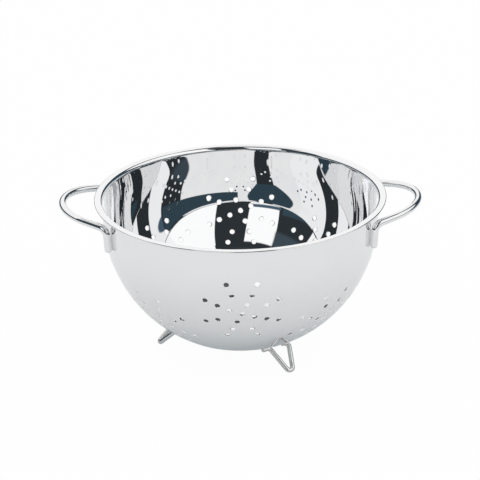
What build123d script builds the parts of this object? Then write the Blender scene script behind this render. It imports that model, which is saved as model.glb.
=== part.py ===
from build123d import *
import math
import os

# Stainless-steel colander: a pressed and perforated bowl, two wire handles and three wire feet,
# spot welded together. Lengths are in millimetres and angles in degrees.
# Z is up, the floor is at height zero and the bowl's axis is the Z axis.
# The front faces -Y and the handles stand out along X.
# An azimuth is measured round the bowl from the front, towards +X.

# Bowl: flat base, small corner, round dome, flatter band, side and straight wall, each flowing into
# the next. The radii are those of the outside. The band and the side each start at a drop: the
# angle below the level at which the sheet faces there.
sheet_thickness = 0.7
base_flat_radius = 57.0
base_corner_radius = 5.0
dome_radius = 113.0
band_radius = 128.7
band_start_drop = 26.0
side_radius = 111.4
side_start_drop = 19.5
wall_height = 17.9

# Rim: the wall turns out into a flat flange, whose edge is folded back under it as a closed hem.
flange_width = 6.4
rim_bend_radius = 2.8
hem_return = 3.0

# Drain holes: stars of small round holes, one star at a time from one punch.
# There are 189 holes, so each is a prism with few sides, as wide as the round hole across its flats.
hole_diameter = 4.2
hole_sides = 8
hole_pitch = 10.4
ring_hole_counts = (4, 8, 8)
ring_turn = 22.5
star_columns = 8
high_star_drop = 20.7
low_star_drop = 35.0
seam_azimuth = 67.5
punch_overrun = 2.0

# All the wires are round, drawn with this many sides.
wire_sides = 12

# Handles: each has two legs welded flat to the wall and a rising loop, whose sides lean together.
handle_wire_diameter = 6.0
handle_leg_spacing = 92.0
handle_reach_past_rim = 29.4
handle_side_lean = 28.0
handle_bend_radius = 7.0
handle_bend_below_rim = 11.0
handle_lift = 6.5
handle_leg_length = 20.0
handle_weld_length = 15.0
handle_end_bevel = 1.0

# Feet: thin wire bent to a V that leans out, with a short tab at each top, welded to the base.
# They are named in the order in which they stand round the base.
foot_names = ("foot_front_right", "foot_rear_right", "foot_left")
first_foot_azimuth = 33.3
foot_wire_diameter = 4.0
foot_height = 20.0
foot_splay = 16.5
foot_width = 19.2
foot_tip_radius = 3.2
foot_bend_radius = 3.6
foot_tab_length = 7.2
foot_edge_inset = 2.5
foot_end_bevel = 0.6

# Welding presses each wire a little flat where it meets the sheet.
weld_flat_depth = 0.2

# Heights and radii worked out from the sizes above
corner_centre_z = foot_height + base_corner_radius
corner_to_dome = math.sqrt((dome_radius - base_corner_radius) ** 2 - base_flat_radius ** 2)
corner_angle = math.degrees(math.atan2(corner_to_dome, base_flat_radius))
dome_centre_z = corner_centre_z + corner_to_dome
band_start = math.radians(band_start_drop)
band_centre_x = (dome_radius - band_radius) * math.cos(band_start)
band_centre_z = dome_centre_z + (band_radius - dome_radius) * math.sin(band_start)
band_sweep = band_start_drop - side_start_drop
side_start = math.radians(side_start_drop)
side_centre_x = band_centre_x + (band_radius - side_radius) * math.cos(side_start)
side_centre_z = band_centre_z + (side_radius - band_radius) * math.sin(side_start)
wall_radius = side_centre_x + side_radius
wall_inner_radius = wall_radius - sheet_thickness
rim_z = side_centre_z + wall_height
rim_radius = wall_radius + flange_width
hem_centre_x = rim_radius - sheet_thickness
bend_centre_x = wall_inner_radius + rim_bend_radius
bend_centre_z = rim_z - rim_bend_radius
handle_wire_radius = handle_wire_diameter / 2
foot_wire_radius = foot_wire_diameter / 2


def outer_section():
    """The outside of the bowl in section, from the axis out along the base and up the wall."""
    return [
        Line((0, foot_height), (base_flat_radius, foot_height)),
        CenterArc((base_flat_radius, corner_centre_z), base_corner_radius, -90, 90 - corner_angle),
        CenterArc((0, dome_centre_z), dome_radius, -corner_angle, corner_angle - band_start_drop),
        CenterArc((band_centre_x, band_centre_z), band_radius, -band_start_drop, band_sweep),
        CenterArc((side_centre_x, side_centre_z), side_radius, -side_start_drop, side_start_drop),
        Line((wall_radius, side_centre_z), (wall_radius, bend_centre_z)),
    ]


def inner_section():
    """The inside of the bowl in section, from the wall down to the base and in to the axis."""
    floor_z = foot_height + sheet_thickness
    corner_radius = base_corner_radius - sheet_thickness
    dome_inner_radius = dome_radius - sheet_thickness
    band_inner_radius = band_radius - sheet_thickness
    side_inner_radius = side_radius - sheet_thickness
    return [
        Line((wall_inner_radius, bend_centre_z), (wall_inner_radius, side_centre_z)),
        CenterArc((side_centre_x, side_centre_z), side_inner_radius, 0, -side_start_drop),
        CenterArc((band_centre_x, band_centre_z), band_inner_radius, -side_start_drop, -band_sweep),
        CenterArc((0, dome_centre_z), dome_inner_radius, -band_start_drop, band_start_drop - corner_angle),
        CenterArc((base_flat_radius, corner_centre_z), corner_radius, -corner_angle, corner_angle - 90),
        Line((base_flat_radius, floor_z), (0, floor_z)),
        Line((0, floor_z), (0, foot_height)),
    ]


def rim_section():
    """The flange in section, from the outside of the wall round its closed hem to the inside."""
    under_z = rim_z - sheet_thickness
    low_z = under_z - sheet_thickness
    fold_end_x = hem_centre_x - hem_return
    return [
        CenterArc((bend_centre_x, bend_centre_z), rim_bend_radius - sheet_thickness, 180, -90),
        Line((bend_centre_x, under_z), (fold_end_x, under_z)),
        Line((fold_end_x, under_z), (fold_end_x, low_z)),
        Line((fold_end_x, low_z), (hem_centre_x, low_z)),
        CenterArc((hem_centre_x, under_z), sheet_thickness, -90, 180),
        Line((hem_centre_x, rim_z), (bend_centre_x, rim_z)),
        CenterArc((bend_centre_x, bend_centre_z), rim_bend_radius, 90, 90),
    ]


def turned(section_edges):
    """A closed section turned once round the bowl's axis, its seam between two stars of holes."""
    section = Plane.XZ * make_face(Curve() + section_edges)
    return Rot(0, 0, seam_azimuth - 90) * revolve(section, Axis.Z)


def star_places():
    """Each hole of one star, as its distance from the star's centre and its clock angle."""
    places = [(0, 0)]
    for ring, count in enumerate(ring_hole_counts, start=1):
        for number in range(count):
            places.append((ring * hole_pitch, ring_turn + 360 * number / count))
    return places


def punch():
    """One punch, long enough to pass through the sheet."""
    outline = RegularPolygon(hole_diameter / 2, hole_sides, major_radius=False)
    return extrude(outline, amount=sheet_thickness / 2 + punch_overrun, both=True)


def wall_punches(azimuth, drop):
    """A star's punches, square to the dome and turned about its centre to their places."""
    star = Pos(0, 0, dome_centre_z) * Rot(0, 0, azimuth - 90) * Rot(0, drop, 0)
    sheet_middle = dome_radius - sheet_thickness / 2
    punches = []
    for distance, clock_angle in star_places():
        tilt = math.degrees(distance / dome_radius)
        place = star * Rot(-clock_angle, 0, 0) * Rot(0, -tilt, 0) * Pos(sheet_middle, 0, 0)
        punches.append(place * Rot(0, 90, 0) * punch())
    return punches


def base_punches():
    """The star of punches in the flat base."""
    sheet_middle = foot_height + sheet_thickness / 2
    punches = []
    for distance, clock_angle in star_places():
        punches.append(Rot(0, 0, clock_angle) * Pos(distance, 0, sheet_middle) * punch())
    return punches


def make_bowl():
    """The pressed bowl with its rim, drained by stars that stand high and low in turn."""
    bowl = turned(outer_section() + rim_section() + inner_section())
    punches = base_punches()
    for column in range(star_columns):
        drop = low_star_drop if column % 2 else high_star_drop
        punches += wall_punches(360 * column / star_columns, drop)
    return bowl - punches


def make_weld_former():
    """The full outside of the bowl, which trims each wire flat where it is welded on."""
    top_and_axis = [
        Line((wall_radius, bend_centre_z), (0, bend_centre_z)),
        Line((0, bend_centre_z), (0, foot_height)),
    ]
    return turned(outer_section() + top_and_axis)


def bent_wire(points, radii, wire_radius, end_bevel):
    """Wire along straight runs with rounded bends, its two cut ends bevelled."""
    path = FilletPolyline(*points, radius=radii)
    section = Plane(origin=path @ 0, z_dir=path % 0) * RegularPolygon(wire_radius, wire_sides)
    wire = sweep(section, path=path)
    for end in (path @ 0, path @ 1):
        cut_face = wire.faces().sort_by_distance(end)[0]
        wire = chamfer(cut_face.edges(), end_bevel)
    return wire


def make_right_handle(weld_former):
    """The handle at +X. Its legs lie along the wall and its loop rises outwards."""
    half_spacing = handle_leg_spacing / 2
    bend_z = rim_z - handle_bend_below_rim
    leg_end_z = bend_z - handle_leg_length
    weld_z = leg_end_z + handle_weld_length / 2

    # The leg leans as the side does at the middle of the weld.
    side_lean_at_weld = math.asin(max(side_centre_z - weld_z, 0) / side_radius)
    side_radius_at_weld = side_centre_x + side_radius * math.cos(side_lean_at_weld)
    wire_centre_at_weld = side_radius_at_weld + handle_wire_radius - weld_flat_depth

    def leg_point(height, side):
        radius = wire_centre_at_weld + (height - weld_z) * math.tan(side_lean_at_weld)
        along_x = math.sqrt(wire_centre_at_weld ** 2 - half_spacing ** 2)
        scale = radius / wire_centre_at_weld
        return Vector(along_x * scale, side * half_spacing * scale, height)

    bend_near = leg_point(bend_z, -1)
    bend_far = leg_point(bend_z, 1)
    loop_start = (bend_near + bend_far) * 0.5
    crown_x = rim_radius + handle_reach_past_rim - handle_wire_radius
    crown = Vector(crown_x, 0, bend_z + handle_lift)
    loop_run = crown - loop_start

    # The loop's sides would meet at the apex. An arch that touches both takes the apex off at the crown.
    side_lean = math.radians(handle_side_lean)
    apex = bend_far.Y / math.tan(side_lean)
    arch_radius = (apex - loop_run.length) * math.sin(side_lean) / (1 - math.sin(side_lean))
    loop_apex = loop_start + loop_run.normalized() * apex
    points = [leg_point(leg_end_z, -1), bend_near, loop_apex, bend_far, leg_point(leg_end_z, 1)]
    radii = [handle_bend_radius, arch_radius, handle_bend_radius]
    wire = bent_wire(points, radii, handle_wire_radius, handle_end_bevel)
    return wire - weld_former


def make_foot(weld_former):
    """One foot, placed as if its azimuth pointed along +X. Both tabs point the same way round."""
    half_width = foot_width / 2
    tab_x = base_flat_radius - foot_edge_inset
    tab_z = foot_height - foot_wire_radius + weld_flat_depth
    top_middle = Vector(tab_x, 0, tab_z)
    tip = Vector(tab_x + foot_splay, 0, foot_wire_radius)
    fall = tip - top_middle

    # The V's sides touch the arc of its tip and would meet at the apex, below the tip.
    arc_centre = fall.length - foot_tip_radius
    side_lean = math.acos(foot_tip_radius / math.hypot(half_width, arc_centre))
    side_lean -= math.atan2(arc_centre, half_width)
    apex = half_width / math.tan(side_lean)
    points = [
        Vector(tab_x, -half_width - foot_tab_length, tab_z),
        Vector(tab_x, -half_width, tab_z),
        top_middle + fall.normalized() * apex,
        Vector(tab_x, half_width, tab_z),
        Vector(tab_x, half_width - foot_tab_length, tab_z),
    ]
    radii = [foot_bend_radius, foot_tip_radius, foot_bend_radius]
    wire = bent_wire(points, radii, foot_wire_radius, foot_end_bevel)
    return wire - weld_former


def main():
    weld_former = make_weld_former()
    right_handle = make_right_handle(weld_former)
    parts = {
        "bowl": make_bowl(),
        "handle_right": right_handle,
        "handle_left": Rot(0, 0, 180) * right_handle,
    }
    foot = make_foot(weld_former)
    for number, name in enumerate(foot_names):
        azimuth = first_foot_azimuth + 360 * number / len(foot_names)
        parts[name] = Rot(0, 0, azimuth - 90) * foot

    os.makedirs("parts", exist_ok=True)
    for name, part in parts.items():
        part.label = name
        export_step(part, f"parts/{name}.step")


main()
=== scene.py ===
import math

import bpy
import numpy as np
from mathutils import Matrix, Vector
from mathutils.geometry import delaunay_2d_cdt


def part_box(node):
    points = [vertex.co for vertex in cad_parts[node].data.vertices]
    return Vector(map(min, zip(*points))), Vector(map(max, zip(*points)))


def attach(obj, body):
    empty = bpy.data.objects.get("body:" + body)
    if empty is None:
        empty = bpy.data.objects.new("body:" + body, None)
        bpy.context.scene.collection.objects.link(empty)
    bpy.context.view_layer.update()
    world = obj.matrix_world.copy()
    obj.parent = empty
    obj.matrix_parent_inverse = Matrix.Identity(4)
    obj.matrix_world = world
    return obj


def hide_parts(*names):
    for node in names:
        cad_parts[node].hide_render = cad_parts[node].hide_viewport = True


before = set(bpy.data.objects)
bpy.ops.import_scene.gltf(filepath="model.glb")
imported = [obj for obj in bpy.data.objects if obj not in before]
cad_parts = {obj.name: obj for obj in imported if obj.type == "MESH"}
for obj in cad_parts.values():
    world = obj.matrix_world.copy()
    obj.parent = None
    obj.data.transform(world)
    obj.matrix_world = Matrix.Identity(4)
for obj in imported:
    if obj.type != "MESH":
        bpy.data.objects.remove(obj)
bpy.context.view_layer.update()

# A stainless-steel colander on a pale table in a soft studio.
# Lengths are in metres, azimuths go round the bowl from the front (-Y) towards +X.
MM = 0.001

# Sizes that the frame gives
bowl_low, bowl_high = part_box("bowl")
rim_radius = bowl_high.x
rim_z = bowl_high.z
base_z = bowl_low.z
crown_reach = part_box("handle_right")[1].x

# Bowl. Its section is the flat base, a small corner, the dome, a flatter band, the side and a
# straight wall. The band and the side each start at a drop, the angle below level that they face.
sheet = 0.7 * MM
base_flat_radius = 57 * MM
base_corner_radius = 5 * MM
dome_radius = 113 * MM
band_radius = 128.7 * MM
band_start = math.radians(26)
side_radius = 111.4 * MM
side_start = math.radians(19.5)
rim_bend_radius = 2.8 * MM
rim_bend_easing = 2.2
joint_blend = math.radians(4)
wall_blend = 8 * MM
hem_return = 3 * MM
hem_edge_round = 0.15 * MM
corner_rise = math.sqrt((dome_radius - base_corner_radius) ** 2 - base_flat_radius ** 2)
corner_angle = math.atan2(corner_rise, base_flat_radius)
dome_centre_z = base_z + base_corner_radius + corner_rise
band_centre_x = (dome_radius - band_radius) * math.cos(band_start)
band_centre_z = dome_centre_z + (band_radius - dome_radius) * math.sin(band_start)
side_centre_x = band_centre_x + (band_radius - side_radius) * math.cos(side_start)
side_centre_z = band_centre_z + (side_radius - band_radius) * math.sin(side_start)
wall_radius = side_centre_x + side_radius
wall_inner_radius = wall_radius - sheet

# Drain holes
hole_radius = 2.1 * MM
hole_edge_round = 0.14 * MM
hole_dish_width = 0.45 * MM
hole_dish_tilt = 9
hole_pitch = 10.4 * MM
ring_hole_counts = (4, 8, 8)
ring_turn = math.radians(22.5)
high_star_drop = math.radians(20.7)
low_star_drop = math.radians(35)

# Handles
handle_radius = 3 * MM
handle_leg_spacing = 92 * MM
handle_side_lean = math.radians(28)
handle_bend_radius = 7 * MM
handle_bend_below_rim = 11 * MM
handle_lift = 6.5 * MM
handle_leg_length = 20 * MM
handle_weld_length = 15 * MM
handle_end_round = 2 * MM

# Feet
foot_names = ("foot_front_right", "foot_rear_right", "foot_left")
first_foot_azimuth = 33.3
foot_radius = 2 * MM
foot_splay = 16.5 * MM
foot_width = 19.2 * MM
foot_tip_radius = 3.2 * MM
foot_bend_radius = 3.6 * MM
foot_tab_length = 7.2 * MM
foot_edge_inset = 2.5 * MM
foot_end_round = 1 * MM
weld_flat_depth = 0.2 * MM

# How finely the meshes are divided. The bowl is made of four equal sectors, each with one high and
# one low star.
columns = 192
sector_count = 4
sector_columns = columns // sector_count
sector_start = math.radians(-22.5)
column_step = 2 * math.pi / columns
dome_rows = 32
wall_rows = 16
bend_rows = 24
bend_steps_per_row = 100
profile_step = math.radians(4)
joint_samples = 9
hole_sides = 24
hole_edge_tilts = np.radians([hole_dish_tilt, 30, 60, 90])
hole_clearance = 1.1 * MM
base_spacing = 3.7 * MM
wire_sides = 32
wire_step = math.radians(5)
wire_end_tilts = np.radians([90, 60, 30, 0])
same_point = 0.001 * MM
same_normal = 0.01
flat_tolerance = 1e-7
# Where the count round a hole starts. No hole's axis lies along it.
ring_seam = (0.3, 0.2, 0.9)


# Mesh building

class Skin:
    """Points with their normals, and the faces between them, gathered patch by patch."""

    def __init__(self):
        self.points = []
        self.normals = []
        self.faces = []
        self.count = 0

    def add(self, points, normals, faces):
        """Adds a patch. Its faces are triangles or quads and number its own points from 0."""
        self.points.append(np.asarray(points, float).reshape(-1, 3))
        self.normals.append(np.asarray(normals, float).reshape(-1, 3))
        self.faces.append(np.asarray(faces, int) + self.count)
        self.count += len(self.points[-1])

    def add_turned(self, other, angle):
        """Adds another skin, turned by an angle about the bowl's axis."""
        turn = np.array(Matrix.Rotation(angle, 3, "Z"))
        start = self.count
        self.points.append(np.vstack(other.points) @ turn.T)
        self.normals.append(np.vstack(other.normals) @ turn.T)
        self.faces += [faces + start for faces in other.faces]
        self.count += other.count

    def build(self, name):
        """One smooth mesh object, with each face turned to the side that its normals point to."""
        points = np.vstack(self.points)
        normals = np.vstack(self.normals)
        normals /= np.linalg.norm(normals, axis=1, keepdims=True)
        key = np.round(np.hstack([points / same_point, normals / same_normal]))
        _, first, place = np.unique(key, axis=0, return_index=True, return_inverse=True)
        place = place.reshape(-1)
        points, normals = points[first], normals[first]
        all_faces = []
        for patch in self.faces:
            faces = place[patch]
            a, b, c = points[faces[:, 0]], points[faces[:, 1]], points[faces[:, -1]]
            facing = (np.cross(b - a, c - a) * normals[faces].sum(1)).sum(1)
            faces[facing < 0] = faces[facing < 0][:, ::-1]
            all_faces += [list(dict.fromkeys(face)) for face in faces.tolist()]
        mesh = bpy.data.meshes.new(name)
        mesh.from_pydata(points.tolist(), [], [face for face in all_faces if len(face) > 2])
        mesh.polygons.foreach_set("use_smooth", [True] * len(mesh.polygons))
        mesh.normals_split_custom_set_from_vertices(normals.tolist())
        piece = bpy.data.objects.new(name, mesh)
        bpy.context.scene.collection.objects.link(piece)
        return piece


def grid_faces(rows, across, closed=False):
    """Quads of a grid of points, row by row, joined round to its first column where closed."""
    faces = []
    for row in range(rows - 1):
        for column in range(across if closed else across - 1):
            beside = (column + 1) % across
            low, high = row * across, (row + 1) * across
            faces.append((low + column, low + beside, high + beside, high + column))
    return faces


# Bowl: the pressed and punched sheet

def arc_profile(centre, radius, start, end, facing=1):
    """Points and normals along an arc in section, between two angles in degrees. Its normals point
    outwards or, with facing -1, inwards."""
    steps = max(4, math.ceil(math.radians(abs(end - start)) / profile_step))
    angles = np.linspace(math.radians(start), math.radians(end), steps + 1)
    outward = np.stack([np.cos(angles), np.sin(angles)], 1)
    return np.array(centre) + radius * outward, facing * outward


def line_profile(start, end, normal, steps=1):
    share = np.linspace(0, 1, steps + 1)[:, None]
    points = np.array(start) * (1 - share) + np.array(end) * share
    return points, np.tile(normal, (steps + 1, 1))


def add_turned_profile(skin, profile):
    """Revolves a stretch of the section once round the bowl's axis."""
    section, facing = profile
    azimuths = sector_start + column_step * np.arange(columns)
    across = np.stack([np.sin(azimuths), -np.cos(azimuths)], 1)
    points = np.zeros((len(section), columns, 3))
    normals = np.zeros_like(points)
    points[:, :, :2] = section[:, 0, None, None] * across
    points[:, :, 2] = section[:, 1, None]
    normals[:, :, :2] = facing[:, 0, None, None] * across
    normals[:, :, 2] = facing[:, 1, None]
    skin.add(points, normals, grid_faces(len(section), columns, closed=True))


def eased_drop(drop):
    """The drop that the side faces, blended into the straight wall, which faces level."""
    reach = wall_blend / side_radius
    return np.where(drop < reach, np.maximum(drop + reach, 0) ** 2 / (4 * reach), drop)


def wall_profile(radius, facing):
    """The side's top and the wall, from the level of the dome's centre to the rim's bend."""
    heights = np.linspace(dome_centre_z, rim_bend()[0][0, 1], wall_rows + 1)
    below = np.minimum(heights - side_centre_z, 0)
    across = side_centre_x + np.sqrt((radius - side_centre_x) ** 2 - below ** 2)
    drop = eased_drop(np.arcsin((side_centre_z - heights) / side_radius))
    return np.stack([across, heights], 1), facing * np.stack([np.cos(drop), -np.sin(drop)], 1)


def rim_bend():
    """The eased bend from the wall to the flange, along the inside of the sheet: points and normals.
    It turns slowly at first, then more and more tightly."""
    share = np.linspace(0, 1, bend_rows + 1)
    fine = np.linspace(0, 1, bend_rows * bend_steps_per_row + 1)
    turn = math.pi / 2 * fine ** rim_bend_easing
    out, up = np.cumsum(np.sin(turn)), np.cumsum(np.cos(turn))
    scale = rim_bend_radius / out[-1]
    path = np.stack([wall_inner_radius + scale * out, rim_z - scale * (up[-1] - up)], 1)
    turn = math.pi / 2 * share ** rim_bend_easing
    return path[::bend_steps_per_row], np.stack([-np.cos(turn), np.sin(turn)], 1)


def rim_profiles():
    """The side's top, the wall, the flange and the closed hem in section, from outside to inside."""
    bend, bend_facing = rim_bend()
    flange_x = bend[-1, 0]
    inner_wall, inner_facing = wall_profile(wall_inner_radius, -1)
    under_z = rim_z - sheet
    low_z = under_z - sheet
    fold_x = rim_radius - sheet
    return_x = fold_x - hem_return
    edge = hem_edge_round
    return [
        wall_profile(wall_radius, 1),
        (bend - sheet * bend_facing, -bend_facing),
        line_profile((flange_x, under_z), (return_x, under_z), (0, -1)),
        line_profile((return_x, under_z), (return_x, low_z + edge), (-1, 0)),
        arc_profile((return_x + edge, low_z + edge), edge, 180, 270),
        line_profile((return_x + edge, low_z), (fold_x, low_z), (0, -1)),
        arc_profile((fold_x, under_z), sheet, -90, 90),
        line_profile((fold_x, rim_z), (flange_x, rim_z), (0, 1), 2),
        (bend[::-1], bend_facing[::-1]),
        (inner_wall[::-1], inner_facing[::-1]),
    ]


def corner_profiles():
    """The small round corner between the dome and the flat base, outside and inside."""
    centre = (base_flat_radius, base_z + base_corner_radius)
    end = -math.degrees(corner_angle)
    return [
        arc_profile(centre, base_corner_radius, -90, end),
        arc_profile(centre, base_corner_radius - sheet, -90, end, facing=-1),
    ]


def star_places():
    """Each hole of one star, as its distance from the star's centre and its clock angle."""
    places = [(0, 0)]
    for ring, count in enumerate(ring_hole_counts, start=1):
        places += [(ring * hole_pitch, ring_turn + 2 * math.pi * n / count) for n in range(count)]
    return places


def dome_axes():
    """The axes of the holes of one high and one low star, as unit vectors from the dome's centre."""
    axes = []
    for azimuth, drop in ((0, high_star_drop), (math.pi / 4, low_star_drop)):
        outward = np.array([math.cos(drop) * math.sin(azimuth), -math.cos(drop) * math.cos(azimuth),
                            -math.sin(drop)])
        beside = np.array([math.cos(azimuth), math.sin(azimuth), 0])
        upward = np.cross(outward, beside)
        for distance, clock in star_places():
            tilt = distance / dome_radius
            away = math.sin(clock) * beside + math.cos(clock) * upward
            axes.append(math.cos(tilt) * outward + math.sin(tilt) * away)
    return np.array(axes)


def ring_round(axis):
    """Unit vectors square to an axis, one for each side of a hole."""
    beside = np.cross(axis, ring_seam)
    beside /= np.linalg.norm(beside)
    other = np.cross(axis, beside)
    turns = 2 * math.pi * np.arange(hole_sides) / hole_sides
    return np.cos(turns)[:, None] * beside + np.sin(turns)[:, None] * other


def add_hole_wall(skin, axis, outer_ring, inner_ring, outer_normals, inner_normals):
    """The inside of a hole between its rings on the sheet's two sides: a shallow dish where the
    punch drew the sheet in, a rounded edge and the straight wall."""
    around = ring_round(axis)
    points, normals = [], []
    for side, ring, facing in ((1, outer_ring, outer_normals), (-1, inner_ring, inner_normals)):
        edge = ring - hole_dish_width * around
        stretch = [(ring, facing)]
        for tilt in hole_edge_tilts:
            inward = hole_edge_round * math.sin(tilt) * around
            down = side * hole_edge_round * (1 - math.cos(tilt)) * axis
            normal = side * math.cos(tilt) * axis - math.sin(tilt) * around
            stretch.append((edge - inward - down, normal))
        points += [place for place, _ in stretch[::side]]
        normals += [normal for _, normal in stretch[::side]]
    skin.add(points, normals, grid_faces(len(points), hole_sides, closed=True))


def triangulate(flat_points, free_count, borders):
    """Triangles between points in a plane, none of them inside a hole's ring of points."""
    edges = []
    for ring_start in range(free_count, len(flat_points), hole_sides):
        ring = range(ring_start, ring_start + hole_sides)
        edges += [(i, ring_start + (i + 1 - ring_start) % hole_sides) for i in ring]
    points = [Vector(p) for p in flat_points]
    _, _, triangles, sources, _, _ = delaunay_2d_cdt(points, edges + borders, [], 0, flat_tolerance)
    kept = []
    for triangle in triangles:
        corners = [sources[i][0] for i in triangle]
        holes = {(i - free_count) // hole_sides if i >= free_count else None for i in corners}
        if len(holes) > 1 or None in holes:
            kept.append(tuple(corners))
    return kept


def section_at(drop, thickness):
    """Where rays at given drops from the dome's centre meet the sheet, in section, and the drop that
    the sheet faces there. The thickness is 0 for its outside."""
    ray = np.stack([np.cos(drop), -np.sin(drop)], 1)
    section = (dome_radius - thickness) * ray
    facing = drop.copy()
    band = (band_centre_x, band_centre_z, band_radius - thickness, band_start)
    side = (side_centre_x, side_centre_z, side_radius - thickness, side_start)
    for centre_x, centre_z, radius, start in (band, side):
        offset = np.array([centre_x, centre_z - dome_centre_z])
        along = ray @ offset
        reach = along + np.sqrt(along ** 2 - offset @ offset + radius ** 2)
        met = reach[:, None] * ray
        met_facing = np.arcsin((offset[1] - met[:, 1]) / radius)
        above = met_facing < start
        section[above] = met[above]
        facing[above] = met_facing[above]
    return section, eased_drop(facing)


def sheet_surface(directions, thickness):
    """Where rays from the dome's centre meet the sheet: points, with normals outwards. The normals
    are blended over the joints of the section, as a pressed sheet has no kink in its reflections."""
    drop = np.arcsin(-directions[:, 2])
    across = directions[:, :2] / np.cos(drop)[:, None]
    section, _ = section_at(drop, thickness)
    reach = np.minimum(drop, joint_blend)
    facing = np.mean([section_at(drop + share * reach, thickness)[1] - share * reach
                      for share in np.linspace(-1, 1, joint_samples)], axis=0)
    points = np.column_stack([section[:, :1] * across, section[:, 1] + dome_centre_z])
    normals = np.column_stack([np.cos(facing)[:, None] * across, -np.sin(facing)])
    return points, normals


def dome_sector():
    """A quarter of the dome, with one high and one low star of holes, both sides of the sheet."""
    axes = dome_axes()
    edge_reach = hole_radius + hole_edge_round + hole_dish_width
    clear = math.cos((edge_reach + hole_clearance) / dome_radius)

    def direction(azimuth, drop):
        return np.stack([np.cos(drop) * np.sin(azimuth), -np.cos(drop) * np.cos(azimuth),
                         -np.sin(drop)], -1)

    free = []
    for row in range(dome_rows + 1):
        for column in range(sector_columns + 1):
            azimuth = sector_start + column * column_step
            drop = corner_angle * row / dome_rows
            on_border = row in (0, dome_rows) or column in (0, sector_columns)
            if on_border or (axes @ direction(azimuth, drop)).max() < clear:
                free.append((azimuth, drop))
    free = np.array(free)
    spread = math.asin(edge_reach / dome_radius)
    rings = [math.cos(spread) * axis + math.sin(spread) * ring_round(axis) for axis in axes]
    rays = np.vstack([direction(free[:, 0], free[:, 1])] + rings)
    # The triangles are laid out in a plane, with azimuth across and drop upwards.
    azimuths = np.arctan2(rays[:, 0], -rays[:, 1])
    mean_share = math.cos(low_star_drop)
    flat = np.stack([azimuths * mean_share, np.arcsin(-rays[:, 2])], 1)
    flat[:len(free)] = free * (mean_share, 1)
    faces = triangulate(flat, len(free), [])

    sector = Skin()
    outer, outer_normals = sheet_surface(rays, 0)
    inner, inner_normals = sheet_surface(rays, sheet)
    sector.add(outer, outer_normals, faces)
    sector.add(inner, -inner_normals, faces)
    for number, axis in enumerate(axes):
        ring = slice(len(free) + number * hole_sides, len(free) + (number + 1) * hole_sides)
        add_hole_wall(sector, axis, outer[ring], inner[ring], outer_normals[ring], -inner_normals[ring])
    return sector


def add_base(skin):
    """The flat base with its star of holes."""
    edge_reach = hole_radius + hole_edge_round + hole_dish_width
    centres = np.array([(d * math.cos(c), d * math.sin(c)) for d, c in star_places()])
    border_azimuths = sector_start + column_step * np.arange(columns)
    border = base_flat_radius * np.stack([np.sin(border_azimuths), -np.cos(border_azimuths)], 1)
    free = list(border)
    for ring in range(1, int(base_flat_radius / base_spacing)):
        radius = base_flat_radius - ring * base_spacing
        count = max(6, round(2 * math.pi * radius / base_spacing))
        for number in range(count):
            turn = 2 * math.pi * (number + 0.5 * (ring % 2)) / count
            point = radius * np.array([math.cos(turn), math.sin(turn)])
            if np.linalg.norm(centres - point, axis=1).min() > edge_reach + hole_clearance:
                free.append(point)
    down = np.array([0, 0, -1])
    around = edge_reach * ring_round(down)
    flat = np.vstack([np.array(free)] + [centre + around[:, :2] for centre in centres])
    faces = triangulate(flat, len(free), [(i, (i + 1) % columns) for i in range(columns)])
    for height, facing in ((base_z, -1), (base_z + sheet, 1)):
        points = np.column_stack([flat, np.full(len(flat), height)])
        skin.add(points, np.tile((0, 0, facing), (len(flat), 1)), faces)
    facing_down = np.tile(down, (hole_sides, 1))
    for x, y in centres:
        low, high = around + (x, y, base_z), around + (x, y, base_z + sheet)
        add_hole_wall(skin, down, low, high, facing_down, -facing_down)


def make_bowl():
    skin = Skin()
    for profile in rim_profiles() + corner_profiles():
        add_turned_profile(skin, profile)
    sector = dome_sector()
    for number in range(sector_count):
        skin.add_turned(sector, 2 * math.pi * number / sector_count)
    add_base(skin)
    return skin.build("bowl_skin")


# Wires: the handles and the feet

def rounded_route(points, radii):
    """Stations along straight runs with rounded bends: places and directions."""
    places, directions = [points[0]], [(points[1] - points[0]).normalized()]
    for before, corner, after, radius in zip(points, points[1:], points[2:], radii):
        way_in = (corner - before).normalized()
        way_out = (after - corner).normalized()
        turn = way_in.angle(way_out)
        start = corner - way_in * radius * math.tan(turn / 2)
        axis = way_in.cross(way_out).normalized()
        centre = start + axis.cross(way_in) * radius
        steps = math.ceil(turn / wire_step)
        for step in range(steps + 1):
            rotation = Matrix.Rotation(turn * step / steps, 3, axis)
            places.append(centre + rotation @ (start - centre))
            directions.append(rotation @ way_in)
    places.append(points[-1])
    directions.append((points[-1] - points[-2]).normalized())
    return places, directions


def eased_ends(places, directions, wire_radius, end_round):
    """Gives every station its ring radius and the tilt of its normals, with rounded cut ends."""
    stations = []
    for side, place, direction in ((-1, places[0], directions[0]), (1, places[-1], directions[-1])):
        cap = []
        for tilt in wire_end_tilts:
            reach = wire_radius - end_round * (1 - math.cos(tilt))
            back = end_round * (1 - math.sin(tilt))
            cap.append((place - side * back * direction, direction, reach, side * math.sin(tilt)))
        cap.insert(0, (place, direction, 0, side))
        stations.append(cap)
    middle = [(p, d, wire_radius, 0) for p, d in zip(places[1:-1], directions[1:-1])]
    return stations[0] + middle + stations[1][::-1]


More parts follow.
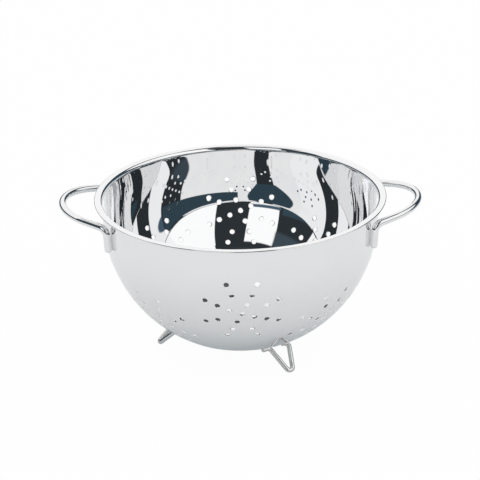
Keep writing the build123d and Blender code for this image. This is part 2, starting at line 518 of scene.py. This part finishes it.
def make_wire(name, points, radii, wire_radius, end_round):
    """A bent wire with rounded cut ends, its rings carried along without twist."""
    places, directions = rounded_route(points, radii)
    stations = eased_ends(places, directions, wire_radius, end_round)
    side = stations[0][1].orthogonal().normalized()
    turns = 2 * math.pi * np.arange(wire_sides) / wire_sides
    rings, facings = [], []
    last = stations[0][1]
    for place, direction, reach, tilt in stations:
        side = last.rotation_difference(direction) @ side
        last = direction
        beside = np.array(side)
        other = np.array(direction.cross(side))
        around = np.cos(turns)[:, None] * beside + np.sin(turns)[:, None] * other
        rings.append(np.array(place) + reach * around)
        facings.append(math.sqrt(1 - tilt ** 2) * around + tilt * np.array(direction))
    skin = Skin()
    skin.add(np.array(rings), np.array(facings), grid_faces(len(rings), wire_sides, closed=True))
    return skin.build(name)


def handle_route():
    """The right handle's points and bend radii: up one leg, round the loop and down the other."""
    half_spacing = handle_leg_spacing / 2
    bend_z = rim_z - handle_bend_below_rim
    end_z = bend_z - handle_leg_length
    weld_z = end_z + handle_weld_length / 2
    lean = math.asin((side_centre_z - weld_z) / side_radius)
    centre_radius = side_centre_x + side_radius * math.cos(lean) + handle_radius - weld_flat_depth

    def leg_point(height, side):
        scale = 1 + (height - weld_z) * math.tan(lean) / centre_radius
        along_x = math.sqrt(centre_radius ** 2 - half_spacing ** 2)
        return Vector((along_x * scale, side * half_spacing * scale, height))

    near, far = leg_point(bend_z, -1), leg_point(bend_z, 1)
    middle = (near + far) / 2
    crown = Vector((crown_reach - handle_radius, 0, bend_z + handle_lift))
    run = crown - middle
    apex = far.y / math.tan(handle_side_lean)
    sine = math.sin(handle_side_lean)
    arch_radius = (apex - run.length) * sine / (1 - sine)
    points = [leg_point(end_z, -1), near, middle + run.normalized() * apex, far, leg_point(end_z, 1)]
    return points, [handle_bend_radius, arch_radius, handle_bend_radius]


def foot_route():
    """A foot's points and bend radii, as if it stood out along +X."""
    half_width = foot_width / 2
    tab_x = base_flat_radius - foot_edge_inset
    tab_z = base_z - foot_radius + weld_flat_depth
    top = Vector((tab_x, 0, tab_z))
    fall = Vector((tab_x + foot_splay, 0, foot_radius)) - top
    arc_centre = fall.length - foot_tip_radius
    lean = math.acos(foot_tip_radius / math.hypot(half_width, arc_centre))
    lean -= math.atan2(arc_centre, half_width)
    points = [
        Vector((tab_x, -half_width - foot_tab_length, tab_z)),
        Vector((tab_x, -half_width, tab_z)),
        top + fall.normalized() * half_width / math.tan(lean),
        Vector((tab_x, half_width, tab_z)),
        Vector((tab_x, half_width - foot_tab_length, tab_z)),
    ]
    return points, [foot_bend_radius, foot_tip_radius, foot_bend_radius]


def turned_points(points, degrees):
    turn = Matrix.Rotation(math.radians(degrees), 3, "Z")
    return [turn @ point for point in points]


# Materials

# Scales of the uneven gloss and of the waviness, and how much darker the steel is where it is dull
cloud_scale = 38
wave_scale = 30
dull_share = 0.96
# A ray is followed through so many mirrorings. Steel seen by the last of them gives a pale glow in
# place of what it would mirror, so that deep reflections of steel in steel do not end in black.
mirrorings = 4
deep_glow = 0.6


def new_material(name):
    material = bpy.data.materials.new(name)
    material.use_nodes = True
    material.node_tree.nodes.clear()
    return material, material.node_tree


def math_node(tree, operation, *values):
    """A sum over one or two values, each a number or a socket."""
    node = tree.nodes.new("ShaderNodeMath")
    node.operation = operation
    for socket, value in zip(node.inputs, values):
        if isinstance(value, (int, float)):
            socket.default_value = value
        else:
            tree.links.new(value, socket)
    return node.outputs[0]


def noise_node(tree, place, scale, detail):
    node = tree.nodes.new("ShaderNodeTexNoise")
    node.inputs["Scale"].default_value = scale
    node.inputs["Detail"].default_value = detail
    tree.links.new(place, node.inputs["Vector"])
    return node.outputs[0]


def polished_steel(name, colour, roughness, mottling, polish_lines, waviness):
    """Polished stainless steel: a soft waviness from forming, softly uneven gloss, and fine lines
    left by the polishing wheel. The waviness is the height of its waves."""
    material, tree = new_material(name)
    nodes, links = tree.nodes, tree.links
    place = nodes.new("ShaderNodeTexCoord").outputs["Object"]
    cloud = noise_node(tree, place, cloud_scale, 3)
    axes = nodes.new("ShaderNodeSeparateXYZ")
    links.new(place, axes.inputs[0])
    x_squared = math_node(tree, "MULTIPLY", axes.outputs[0], axes.outputs[0])
    y_squared = math_node(tree, "MULTIPLY", axes.outputs[1], axes.outputs[1])
    radius = math_node(tree, "SQRT", math_node(tree, "ADD", x_squared, y_squared))
    section_place = nodes.new("ShaderNodeCombineXYZ")
    links.new(radius, section_place.inputs[0])
    links.new(axes.outputs[2], section_place.inputs[2])
    lines = noise_node(tree, section_place.outputs[0], polish_lines, 2)
    shader = nodes.new("ShaderNodeBsdfPrincipled")
    shader.inputs["Metallic"].default_value = 1
    gloss = nodes.new("ShaderNodeMapRange")
    gloss.inputs["To Min"].default_value = roughness
    gloss.inputs["To Max"].default_value = roughness + mottling
    links.new(math_node(tree, "MULTIPLY", cloud, lines), gloss.inputs["Value"])
    links.new(gloss.outputs[0], shader.inputs["Roughness"])
    tint = nodes.new("ShaderNodeMix")
    tint.data_type = "RGBA"
    tint.inputs["A"].default_value = (*colour, 1)
    tint.inputs["B"].default_value = (*(dull_share * c for c in colour), 1)
    links.new(cloud, tint.inputs["Factor"])
    links.new(tint.outputs["Result"], shader.inputs["Base Color"])
    bump = nodes.new("ShaderNodeBump")
    bump.inputs["Strength"].default_value = 1
    bump.inputs["Distance"].default_value = waviness
    links.new(noise_node(tree, place, wave_scale, 1), bump.inputs["Height"])
    links.new(bump.outputs[0], shader.inputs["Normal"])
    rays = nodes.new("ShaderNodeLightPath")
    shader.inputs["Emission Color"].default_value = (1, 1, 1, 1)
    last = math_node(tree, "GREATER_THAN", rays.outputs["Glossy Depth"], mirrorings - 0.5)
    links.new(math_node(tree, "MULTIPLY", last, deep_glow), shader.inputs["Emission Strength"])
    output = nodes.new("ShaderNodeOutputMaterial")
    links.new(shader.outputs[0], output.inputs[0])
    return material


# The object's pieces

# Each steel has its colour, its least roughness, how much rougher it is where it is dull, the scale
# of its polishing lines and the height of its waves.
bowl_steel = polished_steel("bowl_steel", (0.865, 0.87, 0.875), 0.01, 0.03, 900, 0.02 * MM)
handle_steel = polished_steel("handle_steel", (0.84, 0.845, 0.85), 0.04, 0.05, 1500, 0.01 * MM)
foot_steel = polished_steel("foot_steel", (0.74, 0.74, 0.735), 0.1, 0.1, 1500, 0.01 * MM)


def place_piece(piece, node, material):
    piece.data.materials.append(material)
    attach(piece, "root")
    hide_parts(node)


place_piece(make_bowl(), "bowl", bowl_steel)

handle_points, handle_radii = handle_route()
for node, turn in (("handle_right", 0), ("handle_left", 180)):
    wire = make_wire(node + "_wire", turned_points(handle_points, turn), handle_radii,
                     handle_radius, handle_end_round)
    place_piece(wire, node, handle_steel)

foot_points, foot_radii = foot_route()
for number, node in enumerate(foot_names):
    azimuth = first_foot_azimuth + 360 * number / len(foot_names)
    wire = make_wire(node + "_wire", turned_points(foot_points, azimuth - 90), foot_radii,
                     foot_radius, foot_end_round)
    place_piece(wire, node, foot_steel)


# Floor and studio

table_far_colour = (0.86, 0.865, 0.87)
# Painted shade: near the object the table's colour is darker and bluer, standing in for the object's
# shade on it
painted_shade_colour = (0.7, 0.765, 0.79)
# The painted shade colour goes over into the far one between these distances from the middle
painted_shade_full_reach = 0.02
painted_shade_end_reach = 0.12
# How much of the table is plain white: for the camera and through glass, and where it is mirrored
seen_white = 0.97
mirrored_white = 0.12
# The table that the steel mirrors ends at both sides, at the right only behind the middle
floor_half_width = 4
table_half_width = 0.8
table_edge_softness = 0.02
table_corner_softness = 0.1


def ramp_node(tree, value, start, end):
    """Rises smoothly from 0 to 1 while a value goes from the start to the end."""
    node = tree.nodes.new("ShaderNodeMapRange")
    node.interpolation_type = "SMOOTHSTEP"
    tree.links.new(value, node.inputs["Value"])
    node.inputs["From Min"].default_value = start
    node.inputs["From Max"].default_value = end
    return node.outputs[0]


def blend_node(tree, share, below, above):
    """One tone over another by a share, where a tone is a colour or a socket."""
    node = tree.nodes.new("ShaderNodeMix")
    node.data_type = "RGBA"
    tree.links.new(share, node.inputs["Factor"])
    for socket, tone in ((node.inputs["A"], below), (node.inputs["B"], above)):
        if isinstance(tone, tuple):
            socket.default_value = (*tone, 1)
        else:
            tree.links.new(tone, socket)
    return node.outputs["Result"]


def make_floor():
    """A wide pale table, which the camera sees as white with the object's soft shadow on it. What
    the steel mirrors of it is a little darker and bluer near the object, where shade is painted into
    its colour, and ends at the sides."""
    mesh = bpy.data.meshes.new("floor")
    half = floor_half_width
    corners = [(-half, -half, 0), (half, -half, 0), (half, half, 0), (-half, half, 0)]
    mesh.from_pydata(corners, [], [(0, 1, 2, 3)])
    floor = bpy.data.objects.new("floor", mesh)
    bpy.context.scene.collection.objects.link(floor)
    material, tree = new_material("pale_table")
    nodes, links = tree.nodes, tree.links
    place = nodes.new("ShaderNodeTexCoord").outputs["Object"]
    length = nodes.new("ShaderNodeVectorMath")
    length.operation = "LENGTH"
    links.new(place, length.inputs[0])
    axes = nodes.new("ShaderNodeSeparateXYZ")
    links.new(place, axes.inputs[0])
    # Painted shade: darker and bluer near the object, going over into the table's own colour further
    # out
    away = ramp_node(tree, length.outputs["Value"], painted_shade_full_reach, painted_shade_end_reach)
    matt = nodes.new("ShaderNodeBsdfDiffuse")
    links.new(blend_node(tree, away, painted_shade_colour, table_far_colour), matt.inputs["Color"])
    white = nodes.new("ShaderNodeEmission")
    white.inputs["Color"].default_value = (1, 1, 1, 1)
    white.inputs["Strength"].default_value = 1
    rays = nodes.new("ShaderNodeLightPath")
    camera_share = math_node(tree, "MULTIPLY", rays.outputs["Is Camera Ray"], seen_white)
    glossy_share = math_node(tree, "MULTIPLY", rays.outputs["Is Glossy Ray"], mirrored_white)
    clear_share = math_node(tree, "MULTIPLY", rays.outputs["Is Transmission Ray"], seen_white)
    share = math_node(tree, "MAXIMUM", camera_share, glossy_share)
    share = math_node(tree, "MAXIMUM", share, clear_share)
    table = nodes.new("ShaderNodeMixShader")
    links.new(share, table.inputs[0])
    links.new(matt.outputs[0], table.inputs[1])
    links.new(white.outputs[0], table.inputs[2])
    table_end = table_half_width + table_edge_softness
    leftward = math_node(tree, "MULTIPLY", axes.outputs[0], -1)
    left = ramp_node(tree, leftward, table_half_width, table_end)
    right = ramp_node(tree, axes.outputs[0], table_half_width, table_end)
    behind = ramp_node(tree, axes.outputs[1], -table_corner_softness / 2, table_corner_softness / 2)
    right = math_node(tree, "MULTIPLY", right, behind)
    beside = math_node(tree, "MAXIMUM", left, right)
    beside = math_node(tree, "MULTIPLY", beside, rays.outputs["Is Glossy Ray"])
    ground = nodes.new("ShaderNodeEmission")
    ground.inputs["Color"].default_value = (*slate, 1)
    mix = nodes.new("ShaderNodeMixShader")
    links.new(beside, mix.inputs[0])
    links.new(table.outputs[0], mix.inputs[1])
    links.new(ground.outputs[0], mix.inputs[2])
    output = nodes.new("ShaderNodeOutputMaterial")
    links.new(mix.outputs[0], output.inputs[0])
    mesh.materials.append(material)


# What the steel mirrors: white panels all round, with dark gaps and cloths between and below them.
# Each patch has its name, its corners, its tone and how soft its edges are, and covers the ones
# before it. A corner is an azimuth and an elevation in degrees.
black = (0.029, 0.035, 0.04)
slate = (0.038, 0.068, 0.09)
light_slate = (0.055, 0.078, 0.098)
blue_grey = (0.07, 0.12, 0.17)
grey = (0.11, 0.115, 0.12)
cool_white = (0.98, 0.99, 1.03)
warm_white = (1.13, 1.105, 1.065)
bright_white = (1.13, 1.13, 1.13)
studio_patches = (
    ("bright panel in front", ((-42, 14), (-8, 14), (-2, 48), (-42, 48)), bright_white, 0.8),
    ("bright panel at the right", ((18, 12), (75, 12), (75, 50), (30, 50)), bright_white, 4),
    ("gap left of the front panel", ((-77, 14), (-36.3, 14), (-40.3, 48), (-73, 48)), black, 0.8),
    ("paler top of that gap", ((-77, 34), (-38, 34), (-40.3, 48), (-73, 48)), light_slate, 4),
    ("gap right of the front panel", ((-10, 10), (19.5, 10), (34.5, 51), (-3, 51)), black, 0.8),
    ("dark above the front panel", ((-66, 46.5), (34, 46.5), (38, 66), (-66, 66)), black, 1.5),
    ("grey above that", ((-60, 54), (40, 54), (40, 68), (-60, 68)), grey, 6),
    ("cloth under the front panel", ((-38, 14.5), (-8, 14.5), (-8, 17), (-38, 17)), blue_grey, 0.8),
    ("gap at the right", ((122, 5), (153, 5), (150, 44), (121, 44)), black, 0.8),
    ("gap at the right, higher", ((120.5, 43), (150, 43), (147, 66), (111, 66)), black, 0.8),
    ("slope beside that gap", ((79, 5), (171, 5), (152, 28), (119.5, 28)), slate, 1.5),
    ("table edge at the left", ((-176, -4), (-40, -4), (-40, 20), (-176, 13)), slate, 0.8),
    ("table edge in front", ((-45, -4), (90, -4), (90, 9), (-45, 9)), black, 1),
    ("table edge at the right", ((85, -4), (168, -4), (168, 9), (85, 9)), slate, 0.8),
)
# Above this elevation the walls give way to a grey ceiling, over this many degrees
ceiling_start = 65
ceiling_softness = 2
# The whites go from cool to warm in soft clouds of this scale
white_cloud_scale = 3
# The panel overhead: its corners to the right and back for each unit of height, how soft its edges
# are, and the least upward share of a direction that can meet it
overhead_panel = ((-0.36, -0.12), (0, -0.2), (0.15, -0.05), (0.05, 0.3), (-0.36, 0.3))
overhead_softness = 0.02
overhead_lowest = 0.5


def studio_world():
    """White all round for the camera and for the light on the table, and a studio of white panels
    and dark gaps for what the steel mirrors."""
    world = bpy.data.worlds.new("studio")
    bpy.context.scene.world = world
    world.use_nodes = True
    tree = world.node_tree
    tree.nodes.clear()
    nodes, links = tree.nodes, tree.links
    direction = nodes.new("ShaderNodeTexCoord").outputs["Generated"]
    axes = nodes.new("ShaderNodeSeparateXYZ")
    links.new(direction, axes.inputs[0])
    to_degrees = math.degrees(1)
    elevation = math_node(tree, "MULTIPLY", math_node(tree, "ARCSINE", axes.outputs[2]), to_degrees)
    forwards = math_node(tree, "MULTIPLY", axes.outputs[1], -1)
    azimuth = math_node(tree, "ARCTAN2", axes.outputs[0], forwards)
    azimuth = math_node(tree, "MULTIPLY", azimuth, to_degrees)

    def patch_mask(across, height, corners, softness):
        """1 inside a patch and 0 outside it."""
        place = nodes.new("ShaderNodeCombineXYZ")
        links.new(across, place.inputs[0])
        links.new(height, place.inputs[1])
        place.inputs[2].default_value = 1
        mask = None
        for (x, y), (next_x, next_y) in zip(corners, corners[1:] + corners[:1]):
            inward = Vector((y - next_y, next_x - x)).normalized()
            edge = nodes.new("ShaderNodeVectorMath")
            edge.operation = "DOT_PRODUCT"
            links.new(place.outputs[0], edge.inputs[0])
            edge.inputs[1].default_value = (*inward, -inward.dot(Vector((x, y))))
            side = ramp_node(tree, edge.outputs["Value"], -softness / 2, softness / 2)
            mask = side if mask is None else math_node(tree, "MULTIPLY", mask, side)
        return mask

    def azimuth_from(middle):
        """Azimuth from a patch's middle, so that no patch is cut where azimuths jump by a turn."""
        turned = nodes.new("ShaderNodeMath")
        turned.operation = "WRAP"
        links.new(math_node(tree, "SUBTRACT", azimuth, middle), turned.inputs[0])
        turned.inputs[1].default_value = 180
        turned.inputs[2].default_value = -180
        return turned.outputs[0]

    clouds = noise_node(tree, direction, white_cloud_scale, 1)
    tone = blend_node(tree, clouds, cool_white, warm_white)
    ceiling = ramp_node(tree, elevation, ceiling_start - ceiling_softness / 2,
                        ceiling_start + ceiling_softness / 2)
    tone = blend_node(tree, ceiling, tone, grey)
    for name, corners, patch_tone, softness in studio_patches:
        middle = sum(corner[0] for corner in corners) / len(corners)
        shifted = tuple((az - middle, el) for az, el in corners)
        mask = patch_mask(azimuth_from(middle), elevation, shifted, softness)
        tone = blend_node(tree, mask, tone, patch_tone)
        tone.node.label = name
    across = math_node(tree, "DIVIDE", axes.outputs[0], axes.outputs[2])
    along = math_node(tree, "DIVIDE", axes.outputs[1], axes.outputs[2])
    overhead = patch_mask(across, along, overhead_panel, overhead_softness)
    high = math_node(tree, "GREATER_THAN", axes.outputs[2], overhead_lowest)
    overhead = math_node(tree, "MULTIPLY", overhead, high)
    tone = blend_node(tree, overhead, tone, bright_white)
    mirrored = nodes.new("ShaderNodeBackground")
    links.new(tone, mirrored.inputs["Color"])
    plain = nodes.new("ShaderNodeBackground")
    plain.inputs["Color"].default_value = (1, 1, 1, 1)
    rays = nodes.new("ShaderNodeLightPath")
    mix = nodes.new("ShaderNodeMixShader")
    links.new(rays.outputs["Is Glossy Ray"], mix.inputs[0])
    links.new(plain.outputs[0], mix.inputs[1])
    links.new(mirrored.outputs[0], mix.inputs[2])
    output = nodes.new("ShaderNodeOutputWorld")
    links.new(mix.outputs[0], output.inputs[0])


make_floor()
studio_world()
bpy.context.scene.view_settings.view_transform = "Standard"


# Camera: in front and above, tipped down and rolled a little. Its distance and elevation are taken
# from the middle of the rim, and its lens and middle are in pixels of a square picture.

camera_distance = 1190.41 * MM
camera_elevation = math.radians(21.563)
camera_pitch = math.radians(23.43)
camera_roll = math.radians(-0.994)
lens_px = 1445.05
picture_px = 480
middle_px = 240.95
sensor_mm = 36

camera_data = bpy.data.cameras.new("camera")
camera_data.sensor_width = sensor_mm
camera_data.lens = lens_px / picture_px * sensor_mm
camera_data.shift_x = (picture_px / 2 - middle_px) / picture_px
camera = bpy.data.objects.new("camera", camera_data)
bpy.context.scene.collection.objects.link(camera)
forward = Vector((0, math.cos(camera_pitch), -math.sin(camera_pitch)))
level_right = Vector((1, 0, 0))
level_up = level_right.cross(forward)
right = math.cos(camera_roll) * level_right + math.sin(camera_roll) * level_up
up = math.cos(camera_roll) * level_up - math.sin(camera_roll) * level_right
position = Vector((0, -camera_distance * math.cos(camera_elevation),
                   rim_z + camera_distance * math.sin(camera_elevation)))
camera.matrix_world = Matrix((right, up, -forward)).transposed().to_4x4()
camera.location = position
bpy.context.scene.camera = camera
